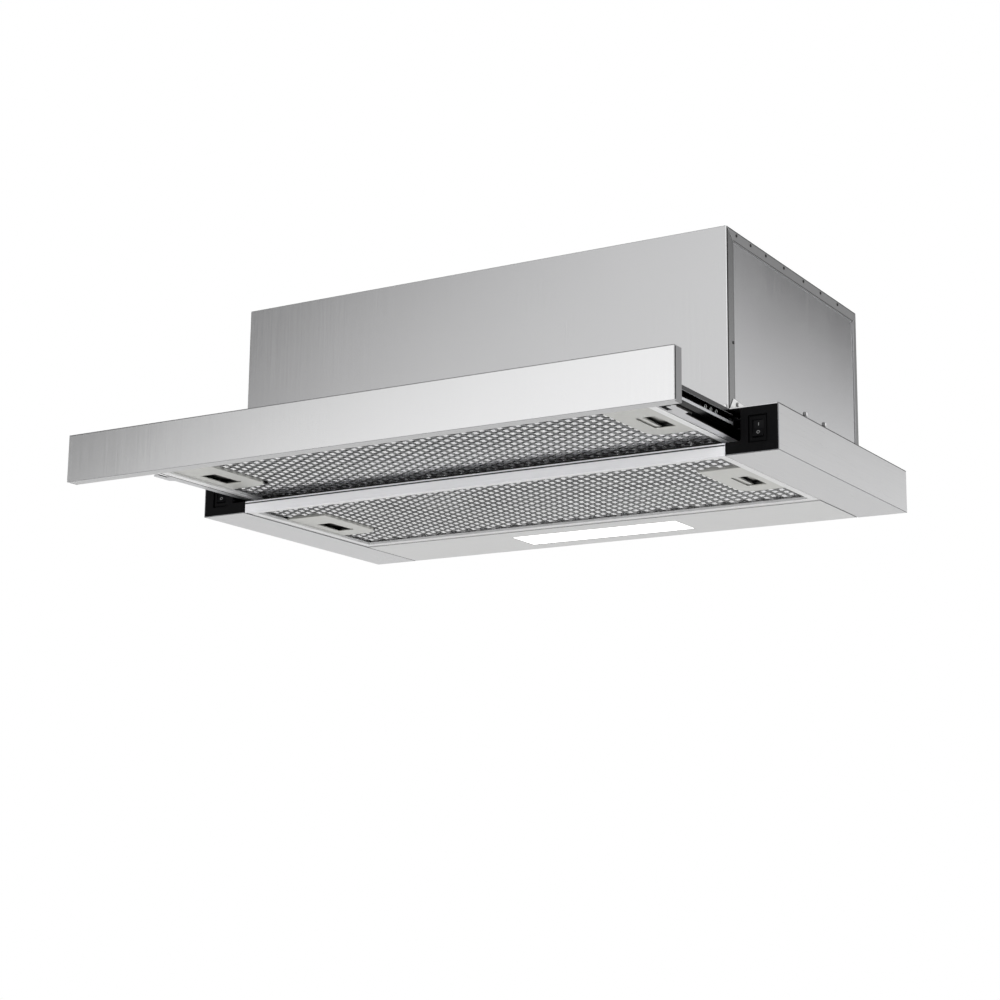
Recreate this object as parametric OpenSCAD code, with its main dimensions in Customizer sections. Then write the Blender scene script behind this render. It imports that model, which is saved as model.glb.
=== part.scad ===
// Slide-out under cabinet range hood, drawn with its drawer pulled out.
// The drawing frame has X across the hood, Y from its front to its back and Z up, with
// Y = 0 on the face of the control blocks and Z = 0 on the underside of the canopy.
// in_frame() then moves the origin to the middle of the four fixing holes in the top.

/* [Canopy] */
// Width of the hood
body_w = 598; // [594:1:602]
// Depth of the canopy
canopy_d = 294; // [290:1:298]
// Height of the canopy
canopy_h = 40; // [40:1:42]
// Thickness of the steel sheets
sheet = 1; // [0.8:0.1:1]

/* [Housing] */
// Width of the upper housing
housing_w = 506; // [502:1:508]
// Height of the upper housing above the canopy
housing_h = 160; // [158:1:180]
// Width of the flange that folds round the front edge of each side
front_flange = 14.5; // [10:0.5:18]
// Height of the flange that folds down over the top edge of each side
top_flange = 10; // [8:1:14]
// Width of the flange at the back edge of each side
back_flange = 7; // [5:1:12]

/* [Drawer] */
// How far the drawer is pulled out
travel = 176; // [150:1:176]
// Thickness of the drawer's front panel
panel_t = 12.5; // [10:0.5:16]
// Height of the front panel
panel_h = 42.5; // [41:0.5:46]
// How far the front panel hangs below the canopy
panel_drop = 1.5; // [0:0.5:3]
// Gap left behind the front panel when the drawer is shut
shut_gap = 0.5; // [0.3:0.1:1]

/* [Grease filters] */
// Width of a filter cassette
filter_w = 499; // [498:0.5:499.5]
// Depth of a filter cassette
filter_d = 200; // [198:1:200]
// Height of a filter cassette's frame
filter_h = 8.5; // [8:0.1:8.6]
// Width of the frame seen round the mesh
filter_lip = 7; // [5:0.5:9]
// Spacing of the large cells in the mesh
cell = 24; // [20:1:40]
// How far a finger latch slides to free the cassette
latch_travel = 2.5; // [2:0.1:2.5]

/* [Controls and light] */
// Width and height of a switch bezel
bezel = [15, 21]; // [12:0.2:24]
// Angle between the two positions of a rocker
rocker_throw = 18; // [12:1:18]
// Width and depth of the light diffuser
diffuser = [181, 42.5]; // [30:0.5:220]

/* [Air path] */
// Outer radius of the duct collar
collar_r = 59.5; // [58:0.5:60]
// Height of the duct collar above the housing
collar_h = 30; // [26:1:36]
// Outer radius of the impeller
wheel_r = 54; // [50:1:54]
// Number of impeller blades
blades = 32; // [20:1:40]

/* [Fixing] */
// Distance between the fixing holes across the hood
fix_dx = 552; // [540:1:560]
// Distance between the fixing holes from front to back
fix_dy = 180; // [150:1:200]
// Radius of a fixing hole
fix_r = 3; // [2:0.5:3.5]

/* [Hidden] */
$fn = 64;
tiny = 0.01;
half_w = body_w / 2;
fix_y = 150;

// canopy
opening_x = 250.7;
upstand_y = 13;
upstand_h = 10.1;
air_hole = [400, 220];
air_y = 30;

// crossbar and light panel
crossbar_x = 250.4;
crossbar_y = 1;
crossbar_top = upstand_h + sheet;
crossbar_flange = 25;
light_y = 204.2;
light_x = 249.8;
diffuser_y = 249.7;

// control blocks
block_in = 251.2;
notch_x = 264.8;
block_out = half_w - sheet - 0.2;
block_d = 24;
block_wall = 1.5;
switch_x = 280;
switch_z = 20.2;
recess_d = 3.2;
bezel_t = 1.8;
rocker_w = 9.6;
rocker_half = 7;
rocker_pivot_y = recess_d + 2.2;
switch_hole = [10.2, 15.2];
switch_case = [12.6, 18.6];

// housing
hx = housing_w / 2;
hy0 = 2.5;
hy1 = canopy_d;
hz0 = canopy_h;
hz1 = canopy_h + housing_h;
mitre = 0.25;
rivet_y = [23, 52, 84, 123, 167, 207, 248];
side_screw_y = [167, 211];
bracket_y = [4, 250];

// drawer, as pulled out
panel_back = -(travel + shut_gap);
panel_front = panel_back - panel_t;
drawer_rear = 70;
cap_t = 1.4;
cap_gap = 2.8;
rail_in = 250.5;
rail_out = rail_in + sheet;
ledge_z = 14.4;
cover_z = 37.2;

// slides
slide_z0 = 20;
slide_z1 = 37;
slide_t = 1.2;
bead_z = [28.2, 30.8];
channel_x = [rail_out, 259];
member_x = [254.4, 261.6];
member_z = [24, 33];
member_y = [12, 262];
ball_r = 1.37;
ball_x = 256;
ball_gap = 1.4;
cage_y = [11, 67];

// filter cassettes
rear_filter = [0, 3 + filter_d / 2, 0.5];
front_filter = [0, panel_back + 1 + filter_d / 2, ledge_z];
mesh_z0 = 3;
plate_x = [198, filter_w / 2 - filter_lip];
plate_half = 46;
plate_r = 14;
slot_x = [213, 231.5];
slot_y = [-13, 25];
slot_r = 3;
bolt_y = 12;
slider_z = 3.2;
slider_t = 1.2;
tongue_gap = 1.4;
tongue_w = 6.6;

// blower
fan_y = 110;
fan_z = 118;
scroll_r0 = wheel_r + 4;
scroll_r1 = wheel_r + 26;
scroll_a0 = 60;
scroll_x = 58;
shaft_r = 4;
inlet_r = 46;
motor_r = 33;
motor_x = [14, 66];

// duct collar and flaps
duct_y = 165;
collar_t = 2;
flap_z = 205.5;
flap_dy = 4;
flap_pin_r = 1.5;
flap_r = collar_r - collar_t - 0.7;

steel = [0.78, 0.78, 0.79];
bright = [0.86, 0.86, 0.88];
zinc = [0.66, 0.67, 0.69];
black = [0.11, 0.11, 0.12];
white = [0.97, 0.97, 0.96];
grey = [0.5, 0.5, 0.52];

// ---------------------------------------------------------------- helpers

// Moves the drawing frame to the part's origin, between the fixing holes.
module in_frame() {
    translate([0, -fix_y, -canopy_h]) children();
}

// A box from its two corners.
module span(x, y, z) {
    translate([x[0], y[0], z[0]]) cube([x[1] - x[0], y[1] - y[0], z[1] - z[0]]);
}

// Draws the right-hand piece as it is (s = 1) or mirrored to the left (s = -1).
module handed(s) {
    if (s > 0) children();
    else mirror([1, 0, 0]) children();
}

// A rectangular ring of wall t, centred on the origin.
module ring(w, d, t, h) {
    linear_extrude(height = h) difference() {
        square([w, d], center = true);
        square([w - 2 * t, d - 2 * t], center = true);
    }
}

// A cylinder along X from x0 to x1.
module rod_x(r, x0, x1) {
    translate([x0, 0, 0]) rotate([0, 90, 0]) cylinder(r = r, h = x1 - x0);
}

// An outline in the Y-Z plane, extruded along X from x0 to x1.
module extrude_x(x0, x1) {
    translate([x0, 0, 0]) rotate([90, 0, 90]) linear_extrude(height = x1 - x0) children();
}

// A pan head screw or rivet head on a face whose normal is +X.
module head_x(r, t) {
    rod_x(r, 0, t * 0.6);
    rod_x(r * 0.75, 0, t);
}

// ---------------------------------------------------------------- canopy

// Top sheet with the air opening, the fixing holes and the fold down the back.
module canopy_top() {
    color(steel) in_frame() {
        difference() {
            span([-half_w + sheet, half_w - sheet], [0.5, canopy_d], [canopy_h - sheet, canopy_h]);
            translate([0, air_y + air_hole[1] / 2, canopy_h - sheet / 2])
                cube([air_hole[0], air_hole[1], 3 * sheet], center = true);
            for (sx = [-1, 1], sy = [-1, 1])
                translate([sx * fix_dx / 2, fix_y + sy * fix_dy / 2, canopy_h - 2 * sheet])
                    cylinder(r = fix_r, h = 3 * sheet);
        }
        span([-half_w + sheet, half_w - sheet], [canopy_d - sheet, canopy_d], [sheet, canopy_h]);
    }
}

// Folded side sheet: outer wall, bottom flange and the upstand beside the rear filter.
module canopy_side(s) {
    color(steel) in_frame() handed(s) difference() {
        union() {
            span([half_w - sheet, half_w], [0, canopy_d], [0, canopy_h]);
            span([opening_x, half_w], [0, canopy_d], [0, sheet]);
            span([opening_x, opening_x + sheet], [upstand_y, canopy_d - sheet], [0, upstand_h]);
        }
        latch_slot(rear_filter);
    }
}

// Slot that a latch bolt enters, given the position of its cassette.
module latch_slot(at) {
    z = at[2] + slider_z;
    span([opening_x - 2, opening_x + 3], [at[1] - bolt_y - 1, at[1] + bolt_y + 1],
         [z - 0.5, z + slider_t + 0.5]);
}

module canopy_side_left() canopy_side(-1);
module canopy_side_right() canopy_side(1);

// Bar across the front, with a flange over the filter and ears on the upstands.
module front_crossbar() {
    color(bright) in_frame() {
        span([-crossbar_x, crossbar_x], [crossbar_y, crossbar_y + sheet], [0, crossbar_top]);
        span([-crossbar_x, crossbar_x], [crossbar_y, crossbar_flange],
             [upstand_h, crossbar_top]);
        span([-opening_x - 11, opening_x + 11], [upstand_y, crossbar_flange],
             [upstand_h, crossbar_top]);
    }
}

// Rear strip of the underside, hooked over the upstands, with the light opening.
module light_panel() {
    color(steel) in_frame() difference() {
        union() {
            span([-light_x, light_x], [light_y, canopy_d - sheet], [0, sheet]);
            span([-light_x, light_x], [light_y, light_y + sheet], [0, upstand_h]);
            for (s = [-1, 1]) handed(s) {
                span([light_x - sheet, light_x], [light_y, canopy_d - sheet], [0, crossbar_top]);
                span([light_x - sheet, light_x + 5], [light_y, canopy_d - sheet],
                     [upstand_h, crossbar_top]);
            }
        }
        translate([0, diffuser_y, 0])
            cube([diffuser[0] + 0.4, diffuser[1] + 0.4, 3 * sheet], center = true);
    }
}

// Opal lens: a raised pad that fills the opening and a rim that lies on the panel.
module led_diffuser() {
    color(white) in_frame() translate([0, diffuser_y, 0]) {
        translate([-diffuser[0] / 2, -diffuser[1] / 2, 0.2])
            cube([diffuser[0], diffuser[1], 2]);
        translate([-diffuser[0] / 2 - 4, -diffuser[1] / 2 - 4, sheet])
            cube([diffuser[0] + 8, diffuser[1] + 8, 1.2]);
    }
}

// Circuit board with two rows of light emitting diodes facing down.
module led_board() {
    pcb = [176, 30, 1.6];
    pcb_z = 6;
    color("seagreen") in_frame() translate([0, diffuser_y, pcb_z]) {
        translate([-pcb[0] / 2, -pcb[1] / 2, 0]) cube(pcb);
        for (i = [0:11], sy = [-1, 1])
            translate([(i - 5.5) * 14 - 1.75, sy * 8 - 1.4, -0.8]) cube([3.5, 2.8, 0.8 + tiny]);
        for (sx = [-1, 1])
            translate([sx * 84 - 2, -4, -3.8]) cube([4, 8, 3.8 + tiny]);
    }
}

// Driver of the light, lying on the canopy top inside the housing.
module led_driver() {
    color(white) in_frame() {
        span([130, 226], [254, 284], [hz0, hz0 + 20]);
        span([120, 236], [260, 278], [hz0, hz0 + 2]);
    }
}

// ---------------------------------------------------------------- controls

// Outline of a control block's face in X-Z, with the step that the slide passes over.
module block_outline(grow) {
    polygon([
        [block_in - grow, sheet - grow], [block_out + grow, sheet - grow],
        [block_out + grow, canopy_h - sheet + grow], [notch_x - grow, canopy_h - sheet + grow],
        [notch_x - grow, crossbar_top + grow], [block_in - grow, crossbar_top + grow]
    ]);
}

// Black moulded block, open at the back, with a recess for the switch.
module control_block(s) {
    color(black) in_frame() handed(s) difference() {
        union() {
            face_extrude(0, upstand_y - 0.5) block_outline(0);
            intersection() {
                face_extrude(0, block_d) block_outline(0);
                span([notch_x, half_w], [0, block_d], [0, canopy_h]);
            }
        }
        face_extrude(recess_d + 2, block_d + 1) block_outline(-block_wall);
        switch_at() translate([0, -1, 0])
            cube_xz(bezel[0] + 2, bezel[1] + 2, recess_d + 1);
        switch_at() cube_xz(switch_case[0] + 0.3, switch_case[1] + 0.3, block_d);
    }
}

// An outline in X-Z, extruded along +Y from y0 to y1.
module face_extrude(y0, y1) {
    translate([0, y1, 0]) rotate([90, 0, 0]) linear_extrude(height = y1 - y0) children();
}

module switch_at() {
    translate([switch_x, 0, switch_z]) children();
}

// A box of width w and height h in X-Z, from Y = 0 back to d.
module cube_xz(w, h, d) {
    translate([-w / 2, 0, -h / 2]) cube([w, d, h]);
}

module control_block_left() control_block(-1);
module control_block_right() control_block(1);

// Switch case with its bezel, the bores for the rocker's trunnions and two blades.
module switch_body(s) {
    case_d = 16;
    color(black) in_frame() handed(s) switch_at() translate([0, recess_d, 0]) difference() {
        union() {
            translate([0, -bezel_t, 0]) cube_xz(bezel[0], bezel[1], bezel_t);
            cube_xz(switch_case[0], switch_case[1], case_d);
            for (sz = [-1, 1])
                translate([0, case_d - tiny, sz * 4.5]) cube_xz(4.8, 0.8, 6);
        }
        translate([0, -bezel_t - 1, 0]) cube_xz(switch_hole[0], switch_hole[1], bezel_t + 10);
        translate([0, rocker_pivot_y - recess_d, 0]) rod_x(1.25, -10, 10);
    }
}

module switch_body_left() switch_body(-1);
module switch_body_right() switch_body(1);

// Rocker with two faces that meet in a shallow valley, its upper half pressed in.
module rocker(s) {
    half_throw = rocker_throw / 2;
    valley = 2.6;
    tip = valley + rocker_half * tan(half_throw);
    color(black) in_frame() handed(s)
        translate([switch_x, rocker_pivot_y, switch_z]) rotate([-half_throw, 0, 0]) {
            extrude_x(-rocker_w / 2, rocker_w / 2) polygon([
                [-valley, 0], [-tip, rocker_half], [-0.8, rocker_half], [2.4, 3],
                [2.4, -3], [-0.8, -rocker_half], [-tip, -rocker_half]
            ]);
            rod_x(1.2, -rocker_w / 2 - 1.1, rocker_w / 2 + 1.1);
        }
}

module rocker_left() rocker(-1);
module rocker_right() rocker(1);

// ---------------------------------------------------------------- housing

// Front sheet with a flange folded round each side, mitred at the top.
module housing_front() {
    color(steel) in_frame() {
        span([-hx, hx], [hy0, hy0 + sheet], [hz0, hz1]);
        for (s = [-1, 1]) handed(s) extrude_x(hx - sheet, hx) polygon([
            [hy0, hz0], [hy0 + front_flange, hz0],
            [hy0 + front_flange, hz1 - top_flange - mitre], [hy0, hz1 - mitre]
        ]);
    }
}

// Side sheet, set in behind the flanges.
module housing_side(s) {
    color(steel) in_frame() handed(s)
        span([hx - 2 * sheet, hx - sheet], [hy0 + sheet, hy1 - sheet], [hz0, hz1 - sheet]);
}

module housing_side_left() housing_side(-1);
module housing_side_right() housing_side(1);

// Back sheet with a narrow flange folded round each side.
module housing_back() {
    color(steel) in_frame() {
        span([-hx, hx], [hy1 - sheet, hy1], [hz0, hz1]);
        for (s = [-1, 1]) handed(s) extrude_x(hx - sheet, hx) polygon([
            [hy1, hz0], [hy1, hz1 - mitre],
            [hy1 - back_flange, hz1 - top_flange - mitre], [hy1 - back_flange, hz0]
        ]);
    }
}

// Top sheet with the duct opening, the gland hole and a flange down each side.
module housing_top() {
    color(steel) in_frame() {
        difference() {
            span([-hx + sheet, hx - sheet], [hy0 + sheet, hy1 - sheet], [hz1 - sheet, hz1]);
            translate([0, duct_y, hz1 - 2 * sheet])
                cylinder(r = collar_r - collar_t, h = 3 * sheet);
            translate(gland_at()) cylinder(r = 8, h = 20, center = true);
        }
        for (s = [-1, 1]) handed(s) extrude_x(hx - sheet, hx) polygon([
            [hy0 + sheet + mitre, hz1], [hy1 - sheet - mitre, hz1],
            [hy1 - back_flange - mitre, hz1 - top_flange],
            [hy0 + front_flange + mitre, hz1 - top_flange]
        ]);
    }
}

// Small rivets along the top flange and one in each front flange.
module housing_rivets() {
    color(zinc) in_frame() for (s = [-1, 1]) handed(s) {
        for (y = rivet_y) translate([hx, y, hz1 - 3.4]) head_x(1.4, 0.6);
        translate([hx, hy0 + front_flange * 0.8, hz0 + 60]) head_x(1.4, 0.6);
    }
}

// Pan head screws: in the sides, in the brackets and round the duct collar.
module housing_screws() {
    color(zinc) in_frame() {
        for (s = [-1, 1]) handed(s) {
            for (y = side_screw_y)
                translate([hx - sheet, y, hz0 + 32]) head_x(2.4, 1.8);
            for (y = bracket_y)
                translate([hx + sheet, y + 15, hz0 + 6.8]) head_x(2.2, 1.4);
            translate([hx - 2.6, hy0, hz0 + 2.6]) rotate([90, 0, 0]) {
                cylinder(r = 2, h = 0.9);
                cylinder(r = 1.4, h = 1.3);
            }
        }
        for (a = [45:90:315]) translate([0, duct_y, hz1 + 2])
            rotate([0, 0, a]) translate([collar_r + 5.5, 0, 0]) {
                cylinder(r = 2.6, h = 1.2);
                cylinder(r = 1.9, h = 1.8);
            }
    }
}

// Four small angles that tie the housing's sides to the canopy top.
module housing_brackets() {
    color(bright) in_frame() for (s = [-1, 1], y = bracket_y) handed(s) {
        extrude_x(hx, hx + sheet) polygon([
            [y, hz0], [y + 8, hz0 + 11], [y + 27, hz0 + 9], [y + 27, hz0]
        ]);
        span([hx, hx + 10], [y, y + 27], [hz0, hz0 + sheet]);
    }
}

// ---------------------------------------------------------------- slides

// Angle under the canopy top that carries the fixed rail.
module slide_bracket(s) {
    color(zinc) in_frame() handed(s) {
        span([member_x[1], member_x[1] + sheet], [12, 272], [16, canopy_h - sheet]);
        span([member_x[1], member_x[1] + 14], [26, 272],
             [canopy_h - 2 * sheet, canopy_h - sheet]);
    }
}

module slide_bracket_left() slide_bracket(-1);
module slide_bracket_right() slide_bracket(1);

// Fixed rail: a channel that opens towards the drawer.
module slide_rail(s) {
    color(bright) in_frame() handed(s) difference() {
        span(member_x, member_y, member_z);
        span([member_x[0] - 1, member_x[1] - slide_t], [member_y[0] - 1, member_y[1] + 1],
             [member_z[0] + slide_t, member_z[1] - slide_t]);
    }
}

module slide_rail_left() slide_rail(-1);
module slide_rail_right() slide_rail(1);

// Ball cage with a row of balls above and below the fixed rail.
module ball_cage(s) {
    mid_z = (member_z[0] + member_z[1]) / 2;
    row = (member_z[1] - member_z[0]) / 2 + ball_gap;
    strip = 0.3;
    color(zinc) in_frame() handed(s) {
        span([253.2, 253.8], cage_y, [mid_z - row - strip, mid_z + row + strip]);
        for (sz = [-1, 1]) translate([0, 0, mid_z + sz * row]) {
            span([253.2, 257.2], cage_y, [-strip, strip]);
            for (i = [0:5])
                translate([ball_x, cage_y[0] + 3 + i * 10, 0]) sphere(r = ball_r, $fn = 32);
        }
    }
}

module ball_cage_left() ball_cage(-1);
module ball_cage_right() ball_cage(1);

// Channel fixed to the drawer's side, with lips that hold the balls.
module slide_channel(s) {
    y = [panel_back + 2.5, drawer_rear];
    lip = 2.3;
    color(zinc) in_frame() handed(s) difference() {
        span(channel_x, y, [slide_z0, slide_z1]);
        span([channel_x[0] + slide_t, channel_x[1] - slide_t], [y[0] - 1, y[1] + 1],
             [slide_z0 + slide_t, slide_z1 - slide_t]);
        span([channel_x[0] + slide_t, channel_x[1] + 1], [y[0] - 1, y[1] + 1],
             [slide_z0 + slide_t + lip, slide_z1 - slide_t - lip]);
        for (hole_y = [-40, -30, -20])
            translate([0, hole_y, 32.7]) rod_x(1.6, channel_x[0] - 1, channel_x[0] + 2);
    }
    color(zinc) in_frame() handed(s)
        span([channel_x[0] + slide_t - tiny, channel_x[0] + slide_t + 0.4], y, bead_z);
}

module slide_channel_left() slide_channel(-1);
module slide_channel_right() slide_channel(1);

// ---------------------------------------------------------------- drawer

// Front panel: one sheet folded into a box section that is open at both ends.
module drawer_front() {
    z = [-panel_drop, panel_h - panel_drop];
    color(steel) in_frame() difference() {
        span([-half_w, half_w], [panel_front, panel_back], z);
        span([-half_w - 1, half_w + 1], [panel_front + sheet, panel_back - sheet],
             [z[0] + sheet, z[1] - sheet]);
        for (s = [-1, 1]) handed(s)
            span([half_w - cap_t, half_w + 1], [panel_front + cap_gap, panel_back + 1],
                 [z[0] - 1, z[1] + 1]);
    }
}

// Cap that closes the open end of the front panel behind its face.
module drawer_end_cap(s) {
    z = [-panel_drop, panel_h - panel_drop];
    color(grey) in_frame() handed(s) {
        span([half_w - cap_t, half_w - 0.2], [panel_front + cap_gap, panel_back], z);
        span([half_w - cap_t - 3, half_w - cap_t + tiny],
             [panel_front + cap_gap, panel_back - sheet], [z[0] + sheet, z[1] - sheet]);
    }
}

module drawer_end_cap_left() drawer_end_cap(-1);
module drawer_end_cap_right() drawer_end_cap(1);

// Side rail: wall, ledge under the slide and the cut-outs beside the front panel.
module drawer_side(s) {
    ledge_x = 259.4;
    tab_x = 263.6;
    color(steel) in_frame() handed(s) difference() {
        union() {
            span([rail_in, rail_out], [panel_back, drawer_rear], [ledge_z, cover_z]);
            translate([0, 0, ledge_z]) linear_extrude(height = sheet) polygon([
                [rail_in, panel_back], [tab_x - 1, panel_back], [tab_x - 1, -121.5],
                [rail_in + 0.5, -121.5], [rail_in + 0.5, -117.5], [tab_x - 3, -117.5],
                [tab_x, -115], [tab_x, -94], [ledge_x, -91],
                [ledge_x - 2, 0], [ledge_x - 2, drawer_rear], [rail_in, drawer_rear]
            ]);
        }
        span([rail_out + 0.3, rail_out + 4.5], [-117.5, -106], [ledge_z - 1, ledge_z + sheet + tiny]);
        latch_slot(front_filter);
    }
}

module drawer_side_left() drawer_side(-1);
module drawer_side_right() drawer_side(1);

// Sheet that closes the drawer from above.
module drawer_cover() {
    color(steel) in_frame()
        span([-rail_out, rail_out], [panel_back, drawer_rear], [cover_z, cover_z + sheet]);
}

// Low channel across the drawer behind the front filter.
module drawer_rear_bar() {
    y0 = front_filter[1] + filter_d / 2 + 1.2;
    color(zinc) in_frame() difference() {
        span([-rail_in, rail_in], [y0, y0 + 10], [ledge_z, ledge_z + filter_h]);
        span([-rail_in - 1, rail_in + 1], [y0 + sheet, y0 + 10 - sheet],
             [ledge_z + sheet, ledge_z + filter_h + 1]);
    }
}

// ---------------------------------------------------------------- filters

// Folded frame with a lip below, a return that the mesh rests on and a rim above.
module filter_frame(at) {
    color(bright) in_frame() translate(at) difference() {
        union() {
            ring(filter_w, filter_d, sheet, filter_h);
            ring(filter_w, filter_d, filter_lip, sheet);
            translate([0, 0, filter_h - sheet]) ring(filter_w, filter_d, filter_lip, sheet);
            ring(filter_w - 2 * (filter_lip - sheet), filter_d - 2 * (filter_lip - sheet),
                 sheet, mesh_z0);
        }
        for (s = [-1, 1]) handed(s)
            span([filter_w / 2 - 2, filter_w / 2 + 1], [-bolt_y - 1, bolt_y + 1],
                 [slider_z - 0.2, slider_z + slider_t + 0.5]);
    }
}

// Mesh pack with large diamond cells, cut away round the two latch pockets.
module filter_mesh(at) {
    w = filter_w - 2 * sheet - 0.6;
    d = filter_d - 2 * sheet - 0.6;
    nx = floor((w - 30) / cell);
    ny = floor((d - 20) / cell);
    color(zinc) in_frame() translate([at[0], at[1], at[2] + mesh_z0])
        linear_extrude(height = filter_h - sheet - mesh_z0) difference() {
            square([w, d], center = true);
            for (i = [0:nx - 1], j = [0:ny - 1]) {
                p = [(i - (nx - 1) / 2) * cell, (j - (ny - 1) / 2) * cell];
                if (abs(p[0]) < plate_x[0] - cell / 2)
                    translate(p) rotate(45) square(cell * 0.5, center = true);
            }
            for (s = [-1, 1]) translate([s * (plate_x[0] + w / 2), 0])
                square([w + 0.4, 2 * plate_half + 0.4], center = true);
        }
}

// Outline of a latch plate, with its inner rear corner rounded.
module plate_outline() {
    r = plate_r;
    difference() {
        translate([plate_x[0], -plate_half]) square([plate_x[1] - plate_x[0], 2 * plate_half]);
        difference() {
            translate([plate_x[0] - 1, plate_half - r]) square([r + 1, r + 1]);
            translate([plate_x[0] + r, plate_half - r]) circle(r = r);
        }
    }
}

// Outline of the finger slot, with its two inner corners rounded.
module slot_outline() {
    w = slot_x[1] - slot_x[0];
    d = slot_y[1] - slot_y[0];
    translate([slot_x[0] + slot_r, slot_y[0]]) square([w - slot_r, d]);
    translate([slot_x[0], slot_y[0] + slot_r]) square([w, d - 2 * slot_r]);
    for (y = [slot_y[0] + slot_r, slot_y[1] - slot_r])
        translate([slot_x[0] + slot_r, y]) circle(r = slot_r);
}

// Pair of latch plates: a slotted plate with a closed pocket above it.
module latch_plates(at) {
    pocket_top = filter_h - sheet;
    wall = 0.8;
    color(steel) in_frame() translate(at) for (s = [-1, 1]) handed(s) difference() {
        translate([0, 0, mesh_z0 - sheet]) linear_extrude(height = pocket_top - mesh_z0 + sheet)
            plate_outline();
        translate([0, 0, mesh_z0]) intersection() {
            span([plate_x[0] + wall, plate_x[1] + 1], [-plate_half + wall, plate_half - plate_r],
                 [0, pocket_top - mesh_z0 - wall]);
            union() {
                span([0, filter_w], [slot_y[0] - 8, slot_y[1] + 4], [0, filter_h]);
                span([0, plate_x[1] - wall], [-plate_half, plate_half], [0, filter_h]);
            }
        }
        linear_extrude(height = mesh_z0 + tiny) slot_outline();
    }
}

// Finger latch: a plate with a tongue beside the finger recess, and its turned-up bolt.
module filter_latch(at, s) {
    x = [slot_x[0] + tongue_gap - 3, slot_x[0] + tongue_gap - 3 + tongue_w];
    y = [slot_y[0] - 6, slot_y[1] + 3.4];
    strip_x = [238.5, 241];
    bolt_tip = opening_x + 1.3;
    color(bright) in_frame() translate(at) handed(s) {
        difference() {
            span([x[0], strip_x[1]], y, [mesh_z0 + 0.2, mesh_z0 + 0.2 + slider_t]);
            span([x[1], strip_x[0]], [slot_y[0], slot_y[1] + 5], [0, filter_h]);
            translate([x[1] - slot_r, y[1] - slot_r, 0]) difference() {
                cube([slot_r + 1, slot_r + 1, filter_h]);
                cylinder(r = slot_r, h = filter_h);
            }
        }
        span([strip_x[1] - tiny, bolt_tip], [-bolt_y, bolt_y],
             [slider_z, slider_z + slider_t]);
    }
}

module front_filter_frame() filter_frame(front_filter);
module front_filter_mesh() filter_mesh(front_filter);
module front_latch_plates() latch_plates(front_filter);
module front_latch_left() filter_latch(front_filter, -1);
module front_latch_right() filter_latch(front_filter, 1);
module rear_filter_frame() filter_frame(rear_filter);
module rear_filter_mesh() filter_mesh(rear_filter);
module rear_latch_plates() latch_plates(rear_filter);
module rear_latch_left() filter_latch(rear_filter, -1);
module rear_latch_right() filter_latch(rear_filter, 1);

// ---------------------------------------------------------------- blower

// Points of the spiral, from the cut-off round to the back, grown by g.
function spiral(g) = [
    for (a = [scroll_a0:12:360])
        let (r = scroll_r0 + (scroll_r1 - scroll_r0) * (a - scroll_a0) / (360 - scroll_a0) + g)
            [r * cos(a), r * sin(a)]
];

// Spiral outline with its outlet running up to height top.
module scroll_outline(g, top) {
    cut_y = scroll_r0 * cos(scroll_a0) - g;
    polygon(concat([[scroll_r1 + g, top], [cut_y, top]], spiral(g)));
}

module fan_at() {
    translate([0, fan_y, fan_z]) children();
}

// Spiral wrap and the flange that bolts it up to the housing top.
module scroll_wrap() {
    top = hz1 - sheet - fan_z;
    flange = 10;
    cut_y = scroll_r0 * cos(scroll_a0);
    color(zinc) in_frame() fan_at() difference() {
        union() {
            extrude_x(-scroll_x, scroll_x) scroll_outline(sheet, top);
            span([-scroll_x - flange, scroll_x + flange],
                 [cut_y - flange, scroll_r1 + flange], [top - sheet, top]);
        }
        extrude_x(-scroll_x - 0.5, scroll_x + 0.5) scroll_outline(0, top + 1);
    }
}

// The two end plates with their rounded inlet rings.
module scroll_sides() {
    top = hz1 - 2 * sheet - fan_z;
    color(zinc) in_frame() fan_at() for (s = [-1, 1]) handed(s) {
        difference() {
            extrude_x(scroll_x, scroll_x + sheet) scroll_outline(sheet, top);
            rod_x(inlet_r, scroll_x - 1, scroll_x + 3);
        }
        rotate([0, 90, 0]) rotate_extrude() translate([inlet_r + 1.5, scroll_x - 1.5])
            circle(r = 1.6, $fn = 24);
    }
}

// Double width impeller: centre disc, two end rings, hub and blades.
module impeller() {
    ring_w = 12;
    half = 54;
    color(grey) in_frame() fan_at() difference() {
        union() {
            rod_x(wheel_r, -1, 1);
            rod_x(9, -12, 10);
            for (x = [-half, half - 1.5]) difference() {
                rod_x(wheel_r, x, x + 1.5);
                rod_x(wheel_r - ring_w, x - 1, x + 3);
            }
            for (i = [0:blades - 1]) rotate([i * 360 / blades, 0, 0])
                translate([-half + tiny, wheel_r - ring_w + 1, 0]) rotate([25, 0, 0])
                    cube([2 * half - 2 * tiny, ring_w - 2.5, 0.8]);
        }
        rod_x(shaft_r, -20, 20);
    }
}

// Shaft of the motor, pressed into the impeller's hub.
module motor_shaft() {
    color(bright) in_frame() fan_at() rod_x(shaft_r, -12, 69);
}

// Motor with its shaft bore, set inside the right half of the impeller.
module motor_body() {
    color(zinc) in_frame() fan_at() difference() {
        union() {
            rod_x(motor_r, motor_x[0] + 6, motor_x[1]);
            rod_x(motor_r - 9, motor_x[0], motor_x[1]);
            for (a = [0:30:330]) rotate([a, 0, 0])
                translate([motor_x[0] + 12, motor_r - 1, -1]) cube([34, 3, 2]);
        }
        rod_x(shaft_r + 0.06, motor_x[0] - 1, motor_x[1] + 1);
    }
}

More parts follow.
